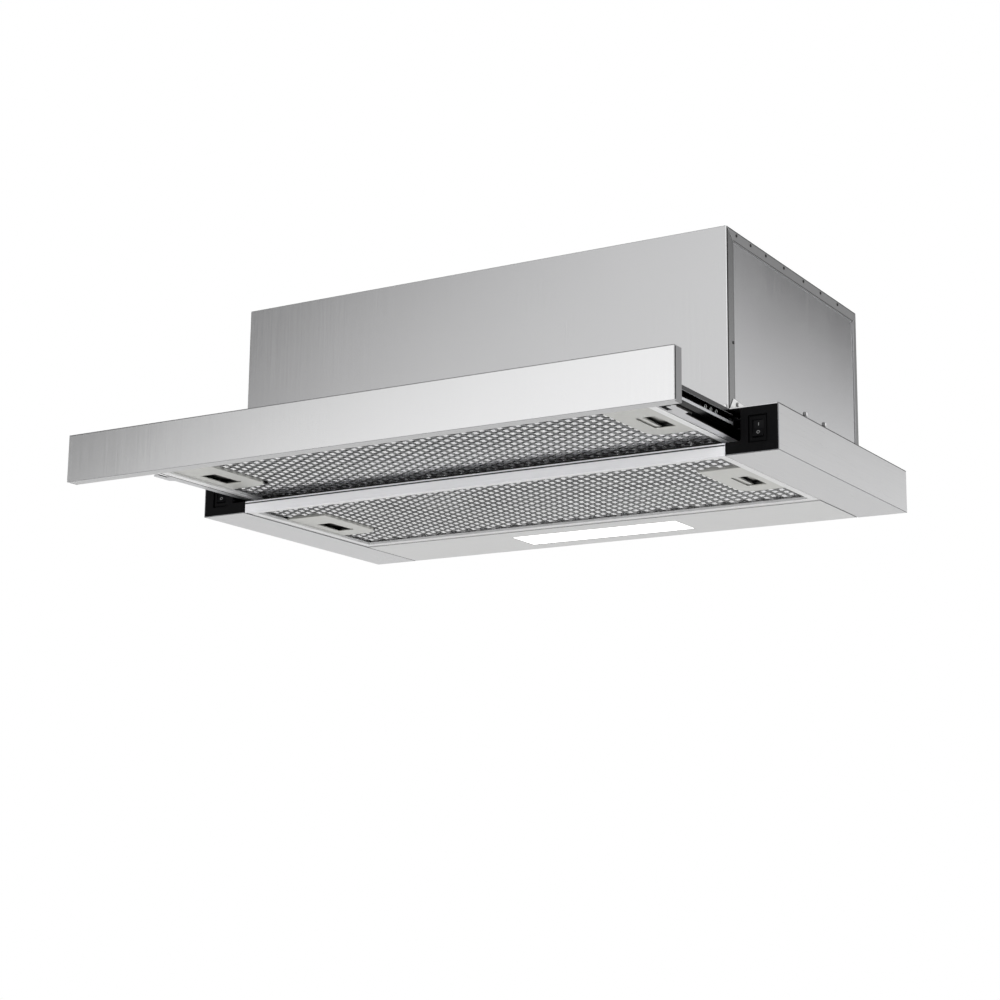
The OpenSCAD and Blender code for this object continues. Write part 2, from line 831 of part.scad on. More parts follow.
// Three-armed spider that hangs the motor on the right end plate.
module motor_bracket() {
    color(zinc) in_frame() fan_at() difference() {
        union() {
            rod_x(22, motor_x[1], motor_x[1] + 2);
            for (a = [30:120:270]) rotate([a, 0, 0]) {
                span([motor_x[1], motor_x[1] + 2], [0, 53], [-6, 6]);
                span([scroll_x + sheet, motor_x[1] + 2], [50.5, 53], [-6, 6]);
            }
        }
        rod_x(shaft_r + 2, motor_x[1] - 1, motor_x[1] + 3);
    }
}

// Run capacitor in its clip, on the canopy top beside the blower.
module motor_capacitor() {
    r = 14;
    color(white) in_frame() {
        translate([0, 268, hz0 + r + 2]) {
            rod_x(r, -232, -168);
            rod_x(4, -168 - tiny, -162);
        }
        span([-206, -194], [253, 283], [hz0, hz0 + 6]);
    }
}

// Terminal box inside the back of the housing.
module terminal_box() {
    color(black) in_frame() difference() {
        span([-238, -162], [242, hy1 - sheet], [142, 182]);
        span([-236, -164], [244, hy1 - sheet - 2], [144, 180]);
        translate(gland_at()) cylinder(r = 6, h = 60, center = true);
    }
}

function gland_at() = [-200, 265, hz1];

// Threaded gland in the housing top, where a lead enters.
module cable_gland() {
    color(black) in_frame() translate(gland_at()) difference() {
        union() {
            cylinder(r = 8, h = 9, center = true);
            cylinder(r = 11, h = 4);
            cylinder(r = 9, h = 14);
            translate([0, 0, -4.5]) cylinder(r = 10.5, h = 3.5);
        }
        cylinder(r = 4, h = 40, center = true);
    }
}

// ---------------------------------------------------------------- duct outlet

// Collar with its flange, the ledge the flaps close on and the bar between them.
module duct_collar() {
    inner = collar_r - collar_t;
    color(black) in_frame() translate([0, duct_y, 0]) difference() {
        union() {
            difference() {
                union() {
                    translate([0, 0, hz1]) cylinder(r = collar_r + 10, h = 2, $fn = 96);
                    translate([0, 0, hz1]) cylinder(r = collar_r, h = collar_h, $fn = 96);
                }
                translate([0, 0, hz1 - 1]) cylinder(r = inner, h = collar_h + 2, $fn = 96);
            }
            translate([0, 0, hz1 + 2]) difference() {
                cylinder(r = inner + tiny, h = 2.2, $fn = 96);
                translate([0, 0, -1]) cylinder(r = inner - 2.5, h = 5, $fn = 96);
            }
            span([-inner - tiny, inner + tiny], [-1.5, 1.5], [hz1 + 1, flap_z + 3]);
        }
        for (sy = [-1, 1]) translate([0, sy * flap_dy, flap_z])
            rod_x(flap_pin_r + 0.05, -collar_r - 1, collar_r + 1);
    }
}

// Half-moon flap with its hinge pin; s = -1 is the front one, s = 1 the rear one.
module flap(s) {
    pin_x = collar_r - 0.8;
    color(grey) in_frame() translate([0, duct_y, flap_z]) {
        translate([0, 0, -0.5]) linear_extrude(height = 1) intersection() {
            circle(r = flap_r, $fn = 96);
            translate([-flap_r, s > 0 ? flap_dy : -flap_dy - 2 * flap_r])
                square([2 * flap_r, 2 * flap_r]);
        }
        translate([0, s * flap_dy, 0]) rod_x(flap_pin_r, -pin_x, pin_x);
    }
}

module flap_front() flap(-1);
module flap_rear() flap(1);

canopy_top();
canopy_side_left();
canopy_side_right();
front_crossbar();
light_panel();
led_diffuser();
led_board();
led_driver();
control_block_left();
control_block_right();
switch_body_left();
switch_body_right();
rocker_left();
rocker_right();
housing_front();
housing_side_left();
housing_side_right();
housing_back();
housing_top();
housing_rivets();
housing_screws();
housing_brackets();
slide_bracket_left();
slide_bracket_right();
slide_rail_left();
slide_rail_right();
ball_cage_left();
ball_cage_right();
slide_channel_left();
slide_channel_right();
drawer_front();
drawer_end_cap_left();
drawer_end_cap_right();
drawer_side_left();
drawer_side_right();
drawer_cover();
drawer_rear_bar();
front_filter_frame();
front_filter_mesh();
front_latch_plates();
front_latch_left();
front_latch_right();
rear_filter_frame();
rear_filter_mesh();
rear_latch_plates();
rear_latch_left();
rear_latch_right();
scroll_wrap();
scroll_sides();
impeller();
motor_shaft();
motor_body();
motor_bracket();
motor_capacitor();
terminal_box();
cable_gland();
duct_collar();
flap_front();
flap_rear();
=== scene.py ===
import functools
import math
import random
from dataclasses import dataclass

import bmesh
import bpy
from mathutils import Matrix, Vector


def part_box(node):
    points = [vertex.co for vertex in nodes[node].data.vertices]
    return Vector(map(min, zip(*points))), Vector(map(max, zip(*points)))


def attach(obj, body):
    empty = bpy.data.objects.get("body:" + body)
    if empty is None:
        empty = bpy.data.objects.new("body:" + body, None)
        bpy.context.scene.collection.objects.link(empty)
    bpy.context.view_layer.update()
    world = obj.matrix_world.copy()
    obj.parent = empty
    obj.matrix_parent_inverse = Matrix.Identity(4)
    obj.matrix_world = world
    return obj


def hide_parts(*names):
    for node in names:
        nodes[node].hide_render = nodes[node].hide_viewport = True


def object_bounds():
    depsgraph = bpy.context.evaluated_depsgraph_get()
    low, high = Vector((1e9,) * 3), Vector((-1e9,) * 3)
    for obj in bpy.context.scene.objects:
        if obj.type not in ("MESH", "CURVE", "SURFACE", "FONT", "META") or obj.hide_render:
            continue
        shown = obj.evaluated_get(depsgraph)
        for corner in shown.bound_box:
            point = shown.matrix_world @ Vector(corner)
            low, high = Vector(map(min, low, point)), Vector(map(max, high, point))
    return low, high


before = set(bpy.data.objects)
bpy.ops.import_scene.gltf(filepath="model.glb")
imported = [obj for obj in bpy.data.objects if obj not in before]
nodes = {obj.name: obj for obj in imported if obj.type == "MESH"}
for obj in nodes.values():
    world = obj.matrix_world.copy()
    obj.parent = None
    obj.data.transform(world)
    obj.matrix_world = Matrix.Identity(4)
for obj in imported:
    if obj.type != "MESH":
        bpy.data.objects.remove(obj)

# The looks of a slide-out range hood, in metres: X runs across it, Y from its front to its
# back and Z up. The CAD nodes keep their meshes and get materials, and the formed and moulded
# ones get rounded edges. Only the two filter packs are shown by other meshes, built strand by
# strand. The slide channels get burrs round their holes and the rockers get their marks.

CAD_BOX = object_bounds()
MM = 0.001
scene = bpy.context.scene


# ---------------------------------------------------------------- shader building blocks

# How far a face's normal has to turn to an axis before the painted shade of faces that look
# that way begins, and before it is complete
TURN_START = 0.6
TURN_FULL = 0.9

EVEN = (1, 1, 1)


class Shader:
    """A Principled material with object coordinates ready for procedural detail."""

    def __init__(self, name, color, metallic=0.0):
        self.material = bpy.data.materials.new(name)
        self.material.use_nodes = True
        self.tree = self.material.node_tree
        self.bsdf = self.tree.nodes["Principled BSDF"]
        self.coords = self.tree.nodes.new("ShaderNodeTexCoord").outputs
        self.color = color
        self.bsdf.inputs["Base Color"].default_value = (*color, 1)
        self.bsdf.inputs["Metallic"].default_value = metallic

    def link(self, output, target):
        self.tree.links.new(output, target)

    def scaled(self, scale):
        """Object coordinates, stretched along each axis."""
        mapping = self.tree.nodes.new("ShaderNodeMapping")
        mapping.inputs["Scale"].default_value = scale
        self.link(self.coords["Object"], mapping.inputs["Vector"])
        return mapping.outputs["Vector"]

    def noise(self, scale, detail=4.0, stretch=EVEN, roughness=0.55):
        texture = self.tree.nodes.new("ShaderNodeTexNoise")
        texture.inputs["Scale"].default_value = scale
        texture.inputs["Detail"].default_value = detail
        texture.inputs["Roughness"].default_value = roughness
        self.link(self.scaled(stretch), texture.inputs["Vector"])
        return texture.outputs["Fac"]

    def cells(self, scale, feature="F1", output="Color", stretch=EVEN):
        texture = self.tree.nodes.new("ShaderNodeTexVoronoi")
        texture.feature = feature
        texture.inputs["Scale"].default_value = scale
        self.link(self.scaled(stretch), texture.inputs["Vector"])
        return texture.outputs[output]

    def spread(self, value, low, high, start=0.3, end=0.7):
        """value, mostly between start and end, mapped to low..high."""
        node = self.tree.nodes.new("ShaderNodeMapRange")
        node.inputs["From Min"].default_value = start
        node.inputs["From Max"].default_value = end
        node.inputs["To Min"].default_value = low
        node.inputs["To Max"].default_value = high
        self.link(value, node.inputs["Value"])
        return node.outputs["Result"]

    def math(self, operation, *values):
        """A Math node on numbers and sockets."""
        node = self.tree.nodes.new("ShaderNodeMath")
        node.operation = operation
        for socket, value in zip(node.inputs, values):
            if isinstance(value, (int, float)):
                socket.default_value = value
            else:
                self.link(value, socket)
        return node.outputs["Value"]

    def product(self, values):
        """Several factors multiplied together."""
        return functools.reduce(functools.partial(self.math, "MULTIPLY"), values)

    def component(self, output, axis):
        """One component of the object coordinates or of the normal."""
        split = self.tree.nodes.new("ShaderNodeSeparateXYZ")
        self.link(self.coords[output], split.inputs["Vector"])
        return split.outputs[axis]

    def along(self, axis):
        """How far along an axis a point of the surface is."""
        return self.component("Object", axis)

    def normal(self, axis):
        """How much of the surface normal points along an axis."""
        return self.component("Normal", axis)

    def within(self, value, low, high, soft, inside, outside):
        """A factor that is inside between low and high and outside elsewhere."""
        rise = self.spread(value, 0.0, 1.0, low - soft, low + soft)
        fall = self.spread(value, 1.0, 0.0, high - soft, high + soft)
        return self.spread(self.math("MULTIPLY", rise, fall), outside, inside, 0.0, 1.0)

    def side_facing(self, tone):
        """Painted shade: tone on the faces that look left or right, 1 on the others."""
        turned = self.math("ABSOLUTE", self.normal("X"))
        return self.spread(turned, 1.0, tone, TURN_START, TURN_FULL)

    def front_facing(self, tone):
        """Painted shade: tone on the faces that look to the front, 1 on the others."""
        return self.spread(self.normal("Y"), tone, 1.0, -TURN_FULL, -TURN_START)

    def down_facing(self, tone):
        """Painted shade: tone on the faces that look down, 1 on the others."""
        return self.spread(self.normal("Z"), tone, 1.0, -TURN_FULL, -TURN_START)

    def flange(self, axis, low, high, tone):
        """Painted shade on a folded edge that looks left or right: tone, darker beside its two
        borders.
        """
        band = self.within(self.along(axis), low, high, 0.5 * MM, tone, 0.06 * tone)
        turned = self.math("ABSOLUTE", self.normal("X"))
        mask = self.spread(turned, 0.0, 1.0, TURN_START, TURN_FULL)
        change = self.math("MULTIPLY", mask, self.math("SUBTRACT", band, 1))
        return self.math("ADD", change, 1)

    def crevices(self, reach, dark, start, end):
        """Painted shade that darkens the colour where another face is within reach."""
        node = self.tree.nodes.new("ShaderNodeAmbientOcclusion")
        node.samples = 8
        node.inputs["Distance"].default_value = reach
        return self.spread(node.outputs["AO"], dark, 1.0, start, end)

    def tint(self, factor):
        """Base colour multiplied by a factor that varies over the surface."""
        node = self.tree.nodes.new("ShaderNodeMix")
        node.data_type = "RGBA"
        node.blend_type = "MULTIPLY"
        node.inputs["Factor"].default_value = 1
        node.inputs["A"].default_value = (*self.color, 1)
        self.link(factor, node.inputs["B"])
        self.link(node.outputs["Result"], self.bsdf.inputs["Base Color"])

    def rough(self, value):
        self.link(value, self.bsdf.inputs["Roughness"])

    def bump(self, height, distance):
        node = self.tree.nodes.new("ShaderNodeBump")
        node.inputs["Strength"].default_value = 1
        node.inputs["Distance"].default_value = distance
        self.link(height, node.inputs["Height"])
        self.link(node.outputs["Normal"], self.bsdf.inputs["Normal"])


# ---------------------------------------------------------------- finishes

# How much narrower than long a brushed scratch is
ACROSS_GRAIN = 160.0


def brushed(name, color, roughness, along, grain, metallic=1.0, sides=1.0, front=1.0, below=1.0,
            shade_line=None, flange=None, dark=1.0):
    """Brushed sheet metal, its scratches running along one axis.

    sides, front and below are the tones of painted shade on the faces that look left or right,
    to the front and down. shade_line is a painted dark line of shade between two heights, with
    its tone. flange holds the arguments of Shader.flange, and dark is the tone of the painted
    shade in the crevices.
    """
    shader = Shader(name, color, metallic)
    stretch = [1.0 if axis == along else ACROSS_GRAIN for axis in "xyz"]
    coarse = shader.noise(9.0, 6.0, stretch, 0.7)
    fine = shader.noise(26.0, 3.0, stretch, 0.6)
    smudge = shader.noise(7.0, 3.0)
    scratches = shader.math("ADD", shader.math("MULTIPLY", coarse, 0.6),
                            shader.math("MULTIPLY", fine, 0.4))
    tones = [shader.spread(scratches, 1 - 0.10 * grain, 1 + 0.06 * grain),
             shader.spread(smudge, 0.975, 1.02)]
    # Painted shade on faces by the way they look, on a line between two heights, on a flange and in
    # crevices
    if sides < 1:
        tones.append(shader.side_facing(sides))
    if front < 1:
        tones.append(shader.front_facing(front))
    if below < 1:
        tones.append(shader.down_facing(below))
    if shade_line:
        low, high, tone = shade_line
        tones.append(shader.within(shader.along("Z"), low, high, 0.15 * MM, tone, 1.0))
    if flange:
        tones.append(shader.flange(*flange))
    if dark < 1:
        tones.append(shader.crevices(6 * MM, dark, 0.3, 0.85))
    shader.tint(shader.product(tones))
    streaks = shader.spread(scratches, roughness - 0.05, roughness + 0.06)
    shader.rough(shader.math("ADD", streaks, shader.spread(smudge, -0.015, 0.03)))
    shader.bump(scratches, 0.02 * MM * grain)
    return shader.material


def galvanised(name, color):
    """Zinc-coated sheet with its crystal spangle."""
    shader = Shader(name, color, metallic=1.0)
    spangle = shader.cells(90)
    shift = shader.noise(225)
    tone = shader.spread(spangle, 0.86, 1.08, 0.0, 1.0)
    shader.tint(shader.math("MULTIPLY", tone, shader.spread(shift, 0.93, 1.05)))
    shader.rough(shader.spread(spangle, 0.33, 0.50, 0.0, 1.0))
    shader.bump(shift, 0.02 * MM)
    return shader.material


def cast_finish(name, color, roughness, metallic=0.0, grain=1600, depth=0.03 * MM, mottle=0.10,
                specular=0.5, front=1.0):
    """Moulded or coated surface: fine even grain with slight mottling.

    front is the tone of painted shade on the faces that look to the front.
    """
    shader = Shader(name, color, metallic)
    pores = shader.noise(grain, 3.0)
    cloud = shader.noise(35.0, 3.0)
    tones = [shader.spread(pores, 1 - mottle, 1 + mottle), shader.spread(cloud, 0.95, 1.04)]
    if front < 1:
        tones.append(shader.front_facing(front))
    shader.tint(shader.product(tones))
    shader.rough(shader.math("ADD", shader.spread(pores, roughness - 0.05, roughness + 0.05),
                             shader.spread(cloud, -0.03, 0.03)))
    shader.bump(pores, depth)
    shader.bsdf.inputs["Specular IOR Level"].default_value = specular
    return shader.material


def polished(name, color, roughness):
    """Plated or rolled bright metal with faint draw marks."""
    shader = Shader(name, color, metallic=1.0)
    marks = shader.noise(420.0)
    cloud = shader.noise(30.0, 3.0)
    shader.tint(shader.spread(cloud, 0.94, 1.04))
    shader.rough(shader.math("ADD", shader.spread(marks, roughness - 0.05, roughness + 0.07),
                             shader.spread(cloud, -0.02, 0.03)))
    shader.bump(marks, 0.012 * MM)
    return shader.material


def screw_finish(name):
    """Bright plated screw with a painted shadow line round its head."""
    shader = Shader(name, (0.97, 0.97, 0.97), metallic=0.6)
    marks = shader.noise(600.0, 3.0)
    # Painted shadow round the screw head
    rim = shader.crevices(1.2 * MM, 0.01, 0.72, 0.97)
    shader.tint(shader.math("MULTIPLY", shader.spread(marks, 0.92, 1.02), rim))
    shader.rough(shader.spread(marks, 0.22, 0.38))
    shader.bump(marks, 0.01 * MM)
    return shader.material


def slide_finish(name, bead):
    """Plated steel with a pale bead: painted near-black shade on the race below it, a painted
    highlight on the bead, plain steel above it and painted shade on the rolled lip.
    """
    shader = Shader(name, (0.60, 0.61, 0.63))
    marks = shader.noise(14.0, 5.0, (60, 1, 60), 0.6)
    height = shader.along("Z")
    low, high = bead
    soft = 0.2 * MM
    # Painted shade on the race below the bead, a painted highlight on the bead and painted shade on
    # the rolled lip
    race_shade = shader.spread(height, 0.02, 1.0, low - soft, low + soft)
    bright = shader.within(height, low, high, soft, 1.6, 1.0)
    rolled = shader.spread(height, 1.0, 0.06, high + 2.4 * MM, high + 2.8 * MM)
    shader.tint(shader.product([race_shade, bright, rolled, shader.spread(marks, 0.85, 1.05)]))
    shader.link(shader.within(height, low, high, soft, 0.25, 1.0), shader.bsdf.inputs["Metallic"])
    dull = shader.within(height, low, high, soft, 0.38, 0.0)
    shader.rough(shader.math("ADD", dull, shader.spread(marks, 0.07, 0.17)))
    shader.bump(marks, 0.01 * MM)
    return shader.material


def lit_opal(name):
    """Opal light cover, glowing a little unevenly in a faint haze."""
    shader = Shader(name, (0.95, 0.95, 0.94))
    haze = shader.noise(60.0, 2.0)
    shader.tint(shader.spread(haze, 0.98, 1.01))
    shader.rough(shader.spread(haze, 0.3, 0.4))
    shader.bsdf.inputs["Emission Color"].default_value = (1.0, 1.0, 0.98, 1)
    shader.link(shader.spread(haze, 1.5, 1.7), shader.bsdf.inputs["Emission Strength"])
    return shader.material


def circuit_board(name):
    """Green solder resist with paler tracks under it."""
    shader = Shader(name, (0.02, 0.16, 0.07))
    tracks = shader.cells(220, "DISTANCE_TO_EDGE", "Distance", (1, 2.5, 1))
    shader.tint(shader.spread(tracks, 1.8, 1.0, 0.05, 0.12))
    shader.rough(shader.spread(shader.noise(300), 0.25, 0.4))
    shader.bump(tracks, 0.02 * MM)
    return shader.material


def plain_floor(name):
    """Matt pale studio floor."""
    shader = Shader(name, (0.92, 0.92, 0.92))
    shader.rough(shader.spread(shader.noise(3.0), 0.66, 0.74))
    return shader.material


# ---------------------------------------------------------------- materials of the hood

def line_below_top(node, start, end, tone):
    """A line between two depths in millimetres below a node's top, as brushed() takes it."""
    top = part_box(node)[1].z
    return top - start * MM, top - end * MM, tone


def bead_heights(node):
    """Lowest and highest height of the bead that runs along a slide channel's web."""
    low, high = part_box(node)
    inner = [v.co.z for v in nodes[node].data.vertices
             if low.z + FOLD_HEIGHT < v.co.z < high.z - FOLD_HEIGHT]
    return min(inner), max(inner)


# Width of a flange's painted dark border of shade, and of the painted shade over the fold in
# front of the housing's front flange
FLANGE_LINE = 0.9 * MM
FOLD_LINE = 3.2 * MM
# Height of the folded top and bottom of a slide channel
FOLD_HEIGHT = 6 * MM

# housing: the front's darker tone, the flanges' tones and dark borders, the sides of the back,
# the dark folds and the bracket's crevices are painted shade, and the front fold a painted
# highlight
front_low, front_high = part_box("housing_front")
top_low, top_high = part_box("housing_top")
FRONT_FLANGE = ("Y", front_low.y + FOLD_LINE, front_high.y - FLANGE_LINE, 0.54)
TOP_FLANGE = ("Z", top_low.z + FLANGE_LINE, top_high.z - FLANGE_LINE, 0.66)
HOUSING = brushed("housing_stainless", (0.575, 0.575, 0.585), 0.15, "z", 0.8)
HOUSING_FRONT = brushed("housing_front_stainless", (0.545, 0.545, 0.55), 0.20, "z", 0.8,
                        flange=FRONT_FLANGE)
HOUSING_RIM = brushed("housing_rim_stainless", (0.50, 0.50, 0.505), 0.4, "y", 0.8, sides=0.58)
HOUSING_TOP = brushed("housing_top_stainless", (0.50, 0.50, 0.505), 0.4, "y", 0.8,
                      flange=TOP_FLANGE)
# Painted shade on the rounded folds, and a painted highlight on the front fold
HOUSING_FOLD_SHADE = polished("housing_folds_shade", (0.42, 0.42, 0.43), 0.3)
FRONT_FOLD_HIGHLIGHT = polished("front_fold_highlight", (0.97, 0.97, 0.98), 0.25)
BRACKET = brushed("bracket_zinc", (0.97, 0.97, 0.97), 0.3, "y", 0.7, dark=0.2)
SCREW = screw_finish("screw_heads")
RIVET = polished("rivet_steel", (0.07, 0.07, 0.07), 0.3)

# canopy: the dark line along each side's top, the dark folds and the dark line under the
# crossbar's top are painted shade
CANOPY = brushed("canopy_stainless", (0.67, 0.67, 0.675), 0.30, "y", 0.8)
CANOPY_SIDE = brushed("canopy_side_stainless", (0.68, 0.68, 0.685), 0.30, "y", 0.8,
                      shade_line=line_below_top("canopy_side_right", 1.1, -1.0, 0.15))
CANOPY_FOLD_SHADE = polished("canopy_folds_shade", (0.20, 0.20, 0.21), 0.3)
LIGHT_PANEL = brushed("light_panel_stainless", (0.76, 0.76, 0.755), 0.36, "x", 0.8)
OPAL = lit_opal("light_opal")
BOARD = circuit_board("led_circuit_board")
CROSSBAR = brushed("crossbar_anodised", (0.93, 0.93, 0.95), 0.55, "x", 0.7, metallic=0.1,
                   shade_line=line_below_top("front_crossbar", 2.6, 1.3, 0.04))
CROSSBAR_EDGE = polished("crossbar_edges", (0.90, 0.90, 0.93), 0.3)

# drawer and its slides: the panel's underside, its dark top line and folds, the end caps'
# fronts and the sides of the ledges are painted shade
PANEL = brushed("panel_stainless", (0.785, 0.785, 0.79), 0.20, "z", 0.8, below=0.72,
                shade_line=line_below_top("drawer_front", 0.8, -1.0, 0.4))
PANEL_FOLD_SHADE = polished("panel_folds_shade", (0.35, 0.35, 0.36), 0.26)
END_CAP = cast_finish("end_cap_plastic", (0.24, 0.24, 0.245), 0.45, front=0.03)
LEDGE = brushed("drawer_side_zinc", (0.68, 0.68, 0.69), 0.36, "y", 0.8, sides=0.02)
SLIDE = slide_finish("slide_zinc", bead_heights("slide_channel_right"))
BURR = polished("hole_burrs", (0.97, 0.97, 0.97), 0.35)
RAIL = brushed("fixed_rail_zinc", (0.03, 0.03, 0.032), 0.3, "y", 0.7)
BALLS = polished("ball_cage_steel", (0.06, 0.06, 0.06), 0.3)

# filters: the front frame's faces that look to the front, the lower layer of strands and the
# latch plates' crevices are painted shade, and the knuckles a painted highlight
FRAME = brushed("filter_frame_aluminium", (0.84, 0.84, 0.84), 0.32, "x", 0.6, metallic=0.45)
FRONT_FRAME = brushed("front_filter_aluminium", (0.93, 0.93, 0.93), 0.32, "x", 0.6, metallic=0.7,
                      front=0.06)
FRAME_EDGE = polished("filter_frame_edges", (0.95, 0.95, 0.95), 0.22)
STRAND = polished("mesh_strands", (0.42, 0.42, 0.42), 0.30)
KNUCKLE = polished("mesh_knuckles", (0.99, 0.99, 1.0), 0.22)
INNER_STRAND = polished("mesh_inner_layer", (0.03, 0.03, 0.03), 0.35)
PLATE = brushed("latch_plate_steel", (0.68, 0.68, 0.65), 0.4, "y", 0.6, dark=0.12)
LATCH = brushed("latch_slide_steel", (0.74, 0.74, 0.71), 0.36, "y", 0.6)

# controls, blower and air path
BLACK = cast_finish("black_plastic", (0.002, 0.002, 0.0024), 0.5, specular=0.09)
ROCKER = cast_finish("rocker_plastic", (0.004, 0.004, 0.0046), 0.32, grain=2600,
                     depth=0.012 * MM, specular=0.14)
MARK = cast_finish("switch_marks", (0.26, 0.26, 0.26), 0.5, mottle=0.05)
GREY = cast_finish("grey_plastic", (0.24, 0.24, 0.245), 0.45)
WHITE = cast_finish("white_plastic", (0.78, 0.78, 0.75), 0.35, mottle=0.03)
MOTOR = cast_finish("motor_case", (0.30, 0.31, 0.33), 0.38, metallic=0.8, grain=700,
                    depth=0.02 * MM)
ZINC = polished("zinc_fasteners", (0.70, 0.70, 0.71), 0.22)
GALVANISED = galvanised("galvanised_sheet", (0.58, 0.59, 0.61))


# ---------------------------------------------------------------- pieces and CAD nodes

# Distance up to which a CAD mesh's doubled vertices join, the angle up to which two faces
# count as one flat face, and the angle from which the edge between two faces is rounded
WELD_DISTANCE = 0.002 * MM
FLAT_ANGLE = math.radians(0.5)
EDGE_ANGLE = math.radians(30)


def both(name):
    """The names of a left and right pair of nodes."""
    return name + "_left", name + "_right"


def new_piece(name, mesh, materials, body, slot_name, *replaced):
    """A Blender piece that rides on a body and may stand for CAD nodes; slot_name is not used."""
    piece = bpy.data.objects.new(name, mesh)
    scene.collection.objects.link(piece)
    for material in materials:
        mesh.materials.append(material)
    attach(piece, body)
    if replaced:
        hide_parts(*replaced)


def painted(node, material):
    """A CAD node kept as it is, with a better material in each of its slots."""
    piece = nodes[node]
    if not piece.material_slots:
        piece.data.materials.append(material)
    for place in piece.material_slots:
        place.link = "OBJECT"
        place.material = material
    return piece


def softened(node, material, width, edge=None, segments=2):
    """A CAD node with edges rounded over a width in millimetres, in a material of their own."""
    piece = painted(node, material)
    piece.data.materials.append(edge or material)
    piece.material_slots[1].link = "OBJECT"
    piece.material_slots[1].material = edge or material
    weld = piece.modifiers.new("weld", "WELD")
    weld.merge_threshold = WELD_DISTANCE
    flat = piece.modifiers.new("flat_faces", "DECIMATE")
    flat.decimate_type = "DISSOLVE"
    flat.angle_limit = FLAT_ANGLE
    bevel = piece.modifiers.new("edges", "BEVEL")
    bevel.width = width * MM
    bevel.segments = segments
    bevel.limit_method = "ANGLE"
    bevel.angle_limit = EDGE_ANGLE
    bevel.use_clamp_overlap = True
    bevel.material = 1


# ---------------------------------------------------------------- filter mesh

# Length and width of a diamond
LONG_WAY = 17.6 * MM
SHORT_WAY = 10.6 * MM
# Share of a strand's swing across its row that a knuckle takes, and how close to the row's
# two borders the strand comes
KNUCKLE_SPAN = 0.31
SWING_MARGIN = 0.1
# How unevenly the strands lean, in radians
LEAN_JITTER = 0.15
# A stretch of strand takes its layer's knuckle material, on the upper layer a painted
# highlight, when the knuckle shares of its two ends add up to more
BRIGHT_FROM = 0.7
MESH_SEED = 7


@dataclass
class Layer:
    """One sheet of expanded metal, whose strands widen and turn towards each knuckle.

    height is above the pack's underside, shift moves the diamonds along X and Y, leans are in
    degrees, swell is how far a strand rises and falls, steps is the number of rings in half
    a diamond, and plain and bright are places in MESH_MATERIALS for the strands and for the
    knuckles, whose painted highlight makes them bright.
    """
    height: float
    shift: tuple
    strand_width: float
    knuckle_width: float
    strand_lean: float
    knuckle_lean: float
    thick: float
    swell: float
    steps: int
    plain: int
    bright: int


# Strands, knuckles in a painted highlight, and the lower layer near black in painted shade
MESH_MATERIALS = (STRAND, KNUCKLE, INNER_STRAND)
LAYERS = (
    Layer(height=1.75 * MM, shift=(0.0, 0.0), strand_width=0.72 * MM, knuckle_width=2.0 * MM,
          strand_lean=-32, knuckle_lean=-26, thick=0.28 * MM, swell=0.35 * MM, steps=8,
          plain=0, bright=1),
    Layer(height=3.7 * MM, shift=(4.4 * MM, 2.65 * MM), strand_width=1.3 * MM,
          knuckle_width=1.6 * MM, strand_lean=20, knuckle_lean=-20, thick=0.3 * MM,
          swell=0.2 * MM, steps=4, plain=2, bright=2),
)


def mix(start, end, share):
    return start + share * (end - start)


def swing_at(x, row, layer):
    """How far a strand has swung across its row at x: 0 at the near knuckle, 1 at the far one."""
    swing = abs((x + layer.shift[0]) / (LONG_WAY / 2) % 2 + row % 2 - 1)
    return swing if swing <= 1 else 2 - swing


def strand_ring(x, row, z, layer, rng):
    """The four corners of a strand at x, and how near it is to a knuckle, from 0 to 1."""
    swing = swing_at(x, row, layer)
    knuckle = max(0.0, 1 - min(swing, 1 - swing) / KNUCKLE_SPAN)
    knuckle = knuckle * knuckle * (3 - 2 * knuckle)
    reach = mix(layer.strand_width, layer.knuckle_width, knuckle) / 2
    lean = math.radians(mix(layer.strand_lean, layer.knuckle_lean, knuckle))
    lean += rng.uniform(-LEAN_JITTER, LEAN_JITTER)
    along = Vector((0, math.cos(lean), math.sin(lean))) * reach
    across = Vector((0, -math.sin(lean), math.cos(lean))) * (layer.thick / 2)
    swing = min(max(swing, SWING_MARGIN), 1 - SWING_MARGIN)
    y = (row + swing) * SHORT_WAY / 2 + layer.shift[1]
    centre = Vector((x, y, z + (2 * swing - 1) * layer.swell))
    corners = ((-1, -1), (1, -1), (1, 1), (-1, 1))
    return [centre + along * a + across * b for a, b in corners], knuckle


def add_strand(verts, faces, looks, rings, layer):
    """Skins a run of four-cornered rings into one closed strand."""
    if len(rings) < 2:
        return
    first = len(verts)
    for ring, _ in rings:
        verts.extend(ring)
    for i in range(len(rings) - 1):
        a = first + 4 * i
        look = layer.bright if rings[i][1] + rings[i + 1][1] > BRIGHT_FROM else layer.plain
        for j in range(4):
            k = (j + 1) % 4
            faces.append((a + j, a + 4 + j, a + 4 + k, a + k))
            looks.append(look)
    last = first + 4 * (len(rings) - 1)
    faces.append((first, first + 1, first + 2, first + 3))
    faces.append((last + 3, last + 2, last + 1, last))
    looks.extend((layer.plain, layer.plain))


